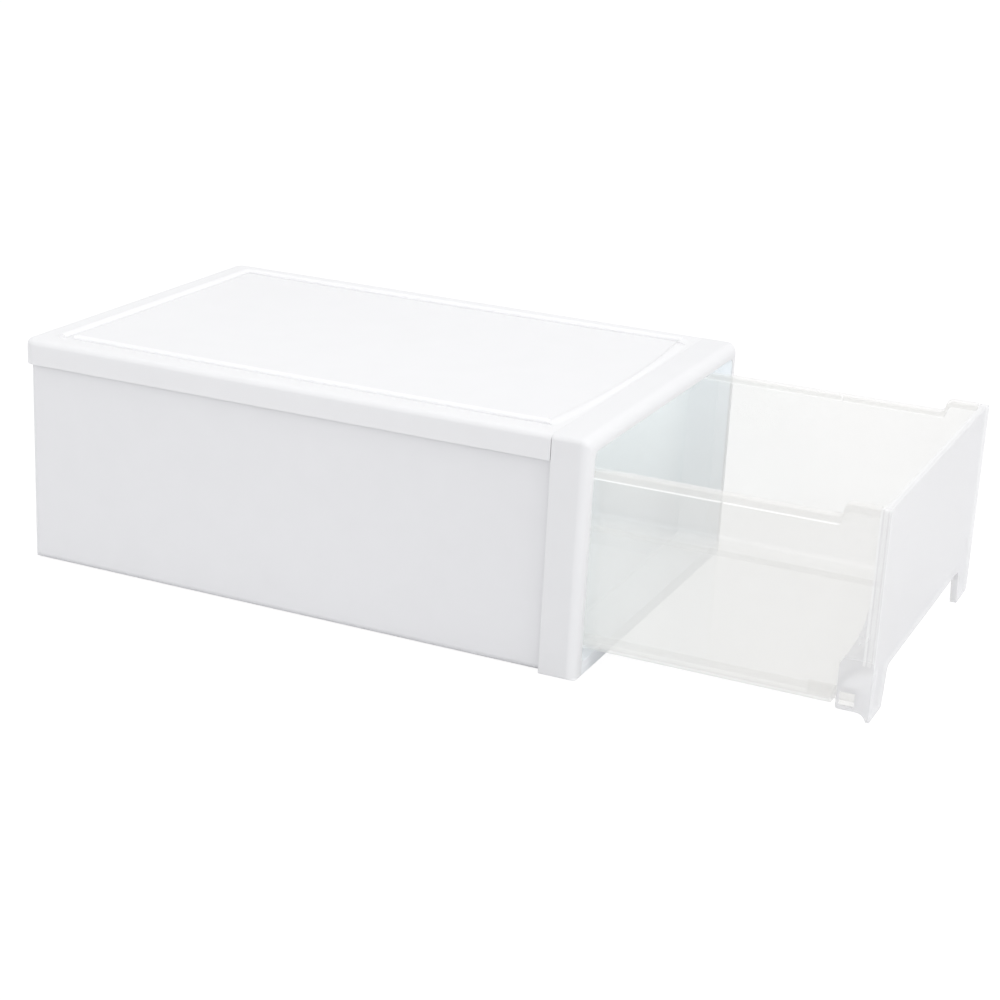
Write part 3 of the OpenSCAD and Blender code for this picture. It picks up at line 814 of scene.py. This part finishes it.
def tray_moulding():
    """The whole moulding: its upper skin and its under skin, made line by line round
    the box from the floor up, and closed along every edge where the plastic ends."""
    n_arc, n_x = 8, 12
    slope = (WALL_X - FLOOR_X) / (RIM_Z - FLOOR_Z)
    curve = (-1, -0.94, -0.8, -0.55, -0.25, -0.08, 0.08, 0.25, 0.55, 0.8, 0.94, 1)
    stations = [0.0, RIM_START, 0.018] + [RISE_LEN + RISE_R * v for v in curve]
    stations += [0.055, 0.08, NOTCH_AT, NOTCH_AT + CLEAR] + spread(0.16, 0.47, 8)
    base_centre = FLOOR_Z + BASE_R

    def plan_line(x, front, rear, corner, height, g):
        """Left side to the rear, across the rear, down the right side, and back
        along the front, at the height that the function gives for each y."""
        def along(y):
            y = max(y, TRAY_FRONT + g)
            if y < HOLLOW_END:
                share = (y - TRAY_FRONT - g) / (HOLLOW_END - TRAY_FRONT - g)
                y = front + (HOLLOW_END - front) * share
            return y
        line = [(-x, along(y)) for y in stations]
        for a in spread(0, math.pi / 2, n_arc):
            line.append((-x + corner * (1 - math.cos(a)), rear - corner * (1 - math.sin(a))))
        line += [(v, rear) for v in spread(-x + corner, 0.0, n_x)][1:]
        line += [(-px, py) for px, py in reversed(line[:-1])]
        line += [(v, front) for v in spread(x, -x, 2 * n_x)][1:-1]
        return [(px, FACE_Y + py, height(py)) for px, py in line]

    def bowl_line(z, g):
        """Line at height z, on the under skin (g = 0) or on the upper one (g = wall)."""
        low = base_centre - z
        x = FLOOR_X - g + slope * (z - FLOOR_Z)
        rear = TRAY_REAR - g
        if low > 0:
            r = BASE_R - g
            x -= r - math.sqrt(max(r * r - low * low, 0.0))
            r = HEEL_R - g
            low = max(low - (BASE_R - HEEL_R), 0.0)
            rear -= r - math.sqrt(max(r * r - low * low, 0.0))
        reach = (SCOOP_R + g) ** 2 - (z - FLOOR_Z) ** 2
        front = max(TRAY_FRONT + g, TRAY_FRONT + math.sqrt(max(reach, 0.0)))
        return plan_line(x, front, rear, REAR_R - g, lambda y: z, g)

    def rim_line(share, drop, out, g):
        """Line a share of the way up the wall to drop below the rim's top, moved out."""
        foot = FLOOR_Z + math.sqrt((SCOOP_R + g) ** 2 - g * g)
        x = FLOOR_X - CLEAR + slope * (foot + (RIM_Z - drop - foot) * share - FLOOR_Z) + out
        return plan_line(
            x, TRAY_FRONT + g, TRAY_REAR - CLEAR + out, REAR_R - CLEAR + out,
            lambda y: foot + (rim_height(y) - drop - foot) * share, g,
        )

    def skin(g):
        """All lines of a skin, and how many of them belong to the bowl."""
        r, scoop = BASE_R - g, SCOOP_R + g
        lines = [bowl_line(base_centre - r * math.cos(a), g) for a in spread(0, math.pi / 2, 7)]
        first = math.asin(BASE_R / scoop)
        last = math.acos(g / scoop)
        lines += [bowl_line(FLOOR_Z + scoop * math.sin(a), g) for a in spread(first, last, 14)[1:]]
        wall = CLEAR - g
        lines += [rim_line(share, RIM_BEND, wall, g) for share in (0.35, 0.7, 1.0)]
        bowl = len(lines)
        bend = RIM_BEND - wall
        for a in spread(0.0, math.pi / 2, 5)[1:]:
            lines.append(rim_line(1.0, RIM_BEND - bend * math.sin(a), RIM_BEND - bend * math.cos(a), g))
        turn = RIM_X - WALL_X + CLEAR - RIM_BEND
        for a in spread(0.0, math.pi / 2, 5):
            lines.append(rim_line(1.0, RIM_BEND - bend * math.cos(a), turn + bend * math.sin(a), g))
        lines.append(rim_line(1.0, LIP_H, turn + bend, g))
        return lines, bowl

    upper, bowl = skin(CLEAR)
    under, _ = skin(0.0)
    n = len(upper[0])
    faces = []
    for j in range(bowl - 1):
        for i in range(n):
            k = (i + 1) % n
            faces.append((j * n + i, j * n + k, (j + 1) * n + k, (j + 1) * n + i))
    # the rim runs round three sides, and a notch cuts its lip on the left and the right
    rim_end = 2 * (len(stations) + n_arc + 1 + n_x) - 1
    notches = (stations.index(NOTCH_AT), rim_end - 2 - stations.index(NOTCH_AT))
    lip = len(upper) - 2
    for j in range(bowl - 1, len(upper) - 1):
        for i in range(1, rim_end - 2):
            if j != lip or i not in notches:
                faces.append((j * n + i, j * n + i + 1, (j + 1) * n + i + 1, (j + 1) * n + i))
    faces.append(tuple(reversed(range(n))))
    return walled_mesh("clear_tray", sum(upper, []), sum(under, []), faces)


def clear_plastic(name, veil, milk, gloss, waviness, painted_edge_glow, painted_highlight_places, thick_foot=None):
    """Clear polystyrene: see-through, with a milky veil that thickens where it is looked
    at along its surface, faint flow marks, and fine rubs in its gloss. The veil's strength and a painted
    glow, standing in for light trapped in the wall, are given face on and edge on, and painted highlights
    lie on the given places."""
    finish = bpy.data.materials.new(name)
    finish.use_nodes = True
    tree = finish.node_tree
    sizes = {"Grain Size": CLEAR_GRAIN, "Grain Depth": CLEAR_GRAIN_DEPTH, "Wall Waviness": waviness}
    texture = add_node(tree, "ShaderNodeGroup", sizes, node_tree=MOULD_GRAIN).outputs
    marks = add_node(tree, "ShaderNodeGroup", {"Amount": CLEAR_RUBS}, node_tree=HANDLING_MARKS)
    rubs = marks.outputs["Mask"]
    worn = maths(tree, "MULTIPLY_ADD", rubs, RUB_DULLS_CLEAR, gloss)
    facing = add_node(tree, "ShaderNodeLayerWeight", {"Blend": VEIL_BLEND}).outputs["Facing"]
    at = add_node(tree, "ShaderNodeTexCoord").outputs["Object"]
    along = add_node(tree, "ShaderNodeSeparateXYZ", {"Vector": at}).outputs
    milky = ramp(tree, facing, (0.0, 1.0), milk)
    if thick_foot:  # the wall thickens towards its lower edge, and is milkier there
        low, high, more = thick_foot
        milky = maths(tree, "ADD", milky, ramp(tree, along["Z"], (low, high), (more, 0.0)))
    cloudy = maths(tree, "MULTIPLY_ADD", texture["Mottle"], MOTTLE_VEILS, milky, clamp=True)
    scuffed = maths(tree, "MULTIPLY_ADD", rubs, RUB_VEILS, cloudy, clamp=True)
    # painted glow, standing in for light trapped in the wall: emission that is stronger at its edges,
    # and painted highlights at the listed places, which lie on both sides of the drawer
    edge = maths(tree, "POWER", facing, PAINTED_GLOW_POWER)
    lit = blend(tree, edge, rgba(painted_edge_glow[0]), rgba(painted_edge_glow[1]))
    outward = (maths(tree, "ABSOLUTE", along["X"]), along["Y"], along["Z"])
    for low, high, share in painted_highlight_places:
        part = maths(tree, "MULTIPLY", inside_box(tree, outward, low, high), share)
        lit = blend(tree, part, lit, rgba(PAINTED_EDGE_HIGHLIGHT))
    relief = add_node(tree, "ShaderNodeBump", {
        "Strength": CLEAR_RELIEF, "Distance": RELIEF_DEPTH, "Height": texture["Height"],
    }).outputs["Normal"]
    plastic = tree.nodes["Principled BSDF"]
    feed(tree, plastic, {
        "Base Color": blend(
            tree, texture["Mottle"], rgba(veil, 1 - MOTTLE_TINT), rgba(veil, 1 + MOTTLE_TINT)
        ),
        "Roughness": worn,
        "IOR": PLASTIC_IOR,
        "Specular IOR Level": CLEAR_SPECULAR,
        "Alpha": scuffed,
        "Normal": relief,
        "Emission Color": lit,
        "Emission Strength": 1.0,
    })
    # the gloss does not thin out with the veil, so it is a layer of its own
    mirror = add_node(tree, "ShaderNodeBsdfGlossy", {
        "Color": rgba((1.0, 1.0, 1.0)), "Roughness": worn, "Normal": relief,
    })
    grazing = add_node(tree, "ShaderNodeLayerWeight", {"Blend": GLOSS_BLEND}).outputs["Facing"]
    rise = maths(tree, "POWER", grazing, GLOSS_POWER)
    coated = add_node(tree, "ShaderNodeMixShader", {
        "Fac": maths(tree, "MULTIPLY_ADD", rise, GLOSS_GRAZING, GLOSS_FACE_ON),
        1: plastic.outputs[0],
        2: mirror.outputs[0],
    })
    feed(tree, tree.nodes["Material Output"], {"Surface": coated.outputs[0]})
    return finish


tray_plastic = clear_plastic(
    "tray_plastic", TRAY_VEIL, (0.19, 0.50), gloss=0.07, waviness=0.8, painted_edge_glow=TRAY_PAINTED_GLOW,
    painted_highlight_places=[(*LIP_PAINTED_HIGHLIGHT_BOX, 1.0)],
)
tray = add_piece("clear_tray", tray_moulding(), tray_plastic, "drawer")
ease_edges(tray, TRAY_EDGE, angle=TRAY_SHARP_FROM)
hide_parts("drawer_tray")

# skids that ride on the body's runners, stops that meet the frame's lip, and the
# clips that snap into the windows of the drawer front, each with an arm behind it
FEET_SUNK = 0.0008
SKID_X, SKID_W, SKID_H = 0.118, 0.006, 0.0027
SKID_FROM, SKID_TO = TRAY_FRONT + SCOOP_R + 0.002, TRAY_REAR - HEEL_R
STOP_X, STOP_W, STOP_H = 0.128, 0.014, 0.0044
STOP_FROM, STOP_TO = 0.3963, 0.4043
CLIP_FROM, CLIP_TO, CLIP_ARM_TO = 0.012, 0.023, 0.0495
CLIP_LOW, CLIP_TOP = 0.0235, 0.0335
CLIP_SUNK, CLIP_SHORT = CLEAR / 2, 0.0006
tray_feet = []
for s in (-1, 1):
    for middle, width, near, far, depth in (
        (SKID_X, SKID_W, SKID_FROM, SKID_TO, SKID_H),
        (STOP_X, STOP_W, STOP_FROM, STOP_TO, STOP_H),
    ):
        x0, x1 = s * middle - width / 2, s * middle + width / 2
        tray_feet.append(((x0, FACE_Y + near, FLOOR_Z - depth), (x1, FACE_Y + far, FLOOR_Z + FEET_SUNK)))
    for outer, far in ((RIM_X - CLIP_SHORT, CLIP_TO), (FLOOR_X + CLIP_SUNK, CLIP_ARM_TO)):
        x0, x1 = sorted((s * (FLOOR_X - CLIP_SUNK), s * outer))
        tray_feet.append(((x0, FACE_Y + CLIP_FROM, CLIP_LOW), (x1, FACE_Y + far, CLIP_TOP)))
feet = add_piece("tray_feet", bars_mesh("tray_feet", tray_feet), tray_plastic, "drawer")
ease_edges(feet, TRAY_EDGE)


# ---------------------------------------------------------------- drawer front
# A pan of clear polystyrene that clips over the front of the tray: a plate with
# flanges, two cheeks that reach back beside the tray, and a wide opening for the
# fingers.

FRONT_VEIL = (0.83, 0.83, 0.84)
# painted glow of the front, face on and edge on
FRONT_PAINTED_GLOW = ((0.01, 0.01, 0.011), (0.60, 0.60, 0.61))
FRONT_EDGE, FRONT_EDGE_STEPS = 0.4e-3, 3
FLANGE_X, OUTSIDE = 0.1535, 0.2
FLANGE_LOW, TOP_FLANGE_LOW = 0.057, 0.1762
TOP_FLANGE_BACK = 0.0057
# painted highlights in upright lines on the side flanges: from and to, behind the face, and strength
PAINTED_UPRIGHT_HIGHLIGHTS = ((-0.001, 0.0012, 0.18), (0.0024, 0.0054, 0.15), (0.0066, 0.0085, 0.24))
# strength of the painted highlight on the band along the top flange
TOP_BAND_PAINTED_HIGHLIGHT = 0.15
THICK_FOOT = (0.028, 0.062, 0.22)  # lower and upper height, and what it adds to the veil

# painted highlights on the drawer front's flanges
painted_flange_highlights = [
    ((-0.001, FACE_Y - 0.001, TOP_FLANGE_LOW), (OUTSIDE, FACE_Y + TOP_FLANGE_BACK, OUTSIDE), TOP_BAND_PAINTED_HIGHLIGHT)
]
for near, far, share in PAINTED_UPRIGHT_HIGHLIGHTS:
    painted_flange_highlights.append(
        ((FLANGE_X, FACE_Y + near, FLANGE_LOW), (OUTSIDE, FACE_Y + far, OUTSIDE), share)
    )
panel_plastic = clear_plastic(
    "panel_plastic", FRONT_VEIL, (0.28, 0.48), gloss=0.16, waviness=0.5, painted_edge_glow=FRONT_PAINTED_GLOW,
    painted_highlight_places=painted_flange_highlights, thick_foot=THICK_FOOT,
)
front_mesh = merged_copy("drawer_front", "clear_front")
front = add_piece("clear_front", front_mesh, panel_plastic, "drawer")
ease_edges(front, FRONT_EDGE, steps=FRONT_EDGE_STEPS)
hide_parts("drawer_front")


# ---------------------------------------------------------------- studio
# A plain pale floor of matt paper, soft light from all round with three soft
# lamps, and the camera on its stand.

PURE_WHITE = (1.0, 1.0, 1.0)
FLOOR_REACH = 12.0
PAPER_GREY, PAPER_SHINES, PAPER_ROUGHNESS = (0.16, 0.16, 0.16), 0.90, 0.9
PAPER_BOUNCES = (0.72, 0.72, 0.73)
SKY_COLOUR, SKY_STRENGTH = (0.99, 0.99, 1.0), 0.88
SENSOR_MM = 36.0
FRAME_PX, FOCAL_PX = 1000, 2126.5
CAMERA_PLACE = (-1.554709, -0.789201, 0.653532)
CAMERA_RIGHT = Vector((0.416179, -0.907956, 0.049099))
CAMERA_DOWN = Vector((-0.276758, -0.177924, -0.944324))
CAMERA_FORWARD = Vector((0.866141, 0.379420, -0.325332))
CLEAR_LAYERS = 40  # transparent surfaces that a ray may pass in a row


def show_to_camera(tree, lighting, seen, output):
    """The camera sees one shader, and everything else is lit by the other."""
    ray = add_node(tree, "ShaderNodeLightPath").outputs["Is Camera Ray"]
    either = add_node(tree, "ShaderNodeMixShader", {"Fac": ray, 1: lighting.outputs[0], 2: seen.outputs[0]})
    feed(tree, tree.nodes[output], {"Surface": either.outputs[0]})


def soft_light(name, place, aim, size, power, spread_angle=180.0):
    """A rectangular soft lamp of the given size in metres and power in watts."""
    lamp = bpy.data.lights.new(name, "AREA")
    lamp.shape = "RECTANGLE"
    lamp.size, lamp.size_y = size
    lamp.energy = power
    lamp.spread = math.radians(spread_angle)
    holder = bpy.data.objects.new(name, lamp)
    bpy.context.scene.collection.objects.link(holder)
    holder.location = place
    holder.rotation_euler = (Vector(aim) - Vector(place)).to_track_quat("-Z", "Y").to_euler()


floor_mesh = bpy.data.meshes.new("studio_floor")
floor_corners = [(x * FLOOR_REACH, y * FLOOR_REACH, 0) for x, y in ((-1, -1), (1, -1), (1, 1), (-1, 1))]
floor_mesh.from_pydata(floor_corners, [], [(0, 1, 2, 3)])
floor = bpy.data.objects.new("studio_floor", floor_mesh)
bpy.context.scene.collection.objects.link(floor)
paper = bpy.data.materials.new("studio_paper")
paper.use_nodes = True
seen_paper = paper.node_tree.nodes["Principled BSDF"]
feed(paper.node_tree, seen_paper, {
    "Base Color": rgba(PAPER_GREY),
    "Roughness": PAPER_ROUGHNESS,
    "Specular IOR Level": 0.0,
    "Emission Color": rgba(PURE_WHITE),
    "Emission Strength": PAPER_SHINES,
})
bounced = add_node(paper.node_tree, "ShaderNodeBsdfDiffuse", {"Color": rgba(PAPER_BOUNCES)})
show_to_camera(paper.node_tree, bounced, seen_paper, "Material Output")
floor_mesh.materials.append(paper)

world = bpy.data.worlds.new("studio_world")
bpy.context.scene.world = world
world.use_nodes = True
sky = world.node_tree.nodes["Background"]
feed(world.node_tree, sky, {"Color": rgba(SKY_COLOUR), "Strength": SKY_STRENGTH})
backdrop = add_node(world.node_tree, "ShaderNodeBackground", {"Color": rgba(PURE_WHITE)})
show_to_camera(world.node_tree, sky, backdrop, "World Output")

soft_light("key_light", (-0.15, 0.05, 1.5), (0, 0, 0.19), (0.9, 0.9), 2.0)
soft_light("front_light", (-0.3, -2.1, 1.25), (0, -0.25, 0.1), (1.1, 0.7), 13)
soft_light("side_light", (-1.3, 0.75, 0.6), (-0.17, 0.22, 0.07), (0.9, 0.7), 0.2, 28)

camera_data = bpy.data.cameras.new("studio_camera")
camera_data.sensor_width = SENSOR_MM
camera_data.lens = SENSOR_MM * FOCAL_PX / FRAME_PX
camera = bpy.data.objects.new("studio_camera", camera_data)
bpy.context.scene.collection.objects.link(camera)
turn = Matrix((CAMERA_RIGHT, -CAMERA_DOWN, -CAMERA_FORWARD)).transposed().to_4x4()
camera.matrix_world = Matrix.Translation(CAMERA_PLACE) @ turn
bpy.context.scene.camera = camera
bpy.context.scene.view_settings.view_transform = "Standard"
bpy.context.scene.cycles.transparent_max_bounces = CLEAR_LAYERS
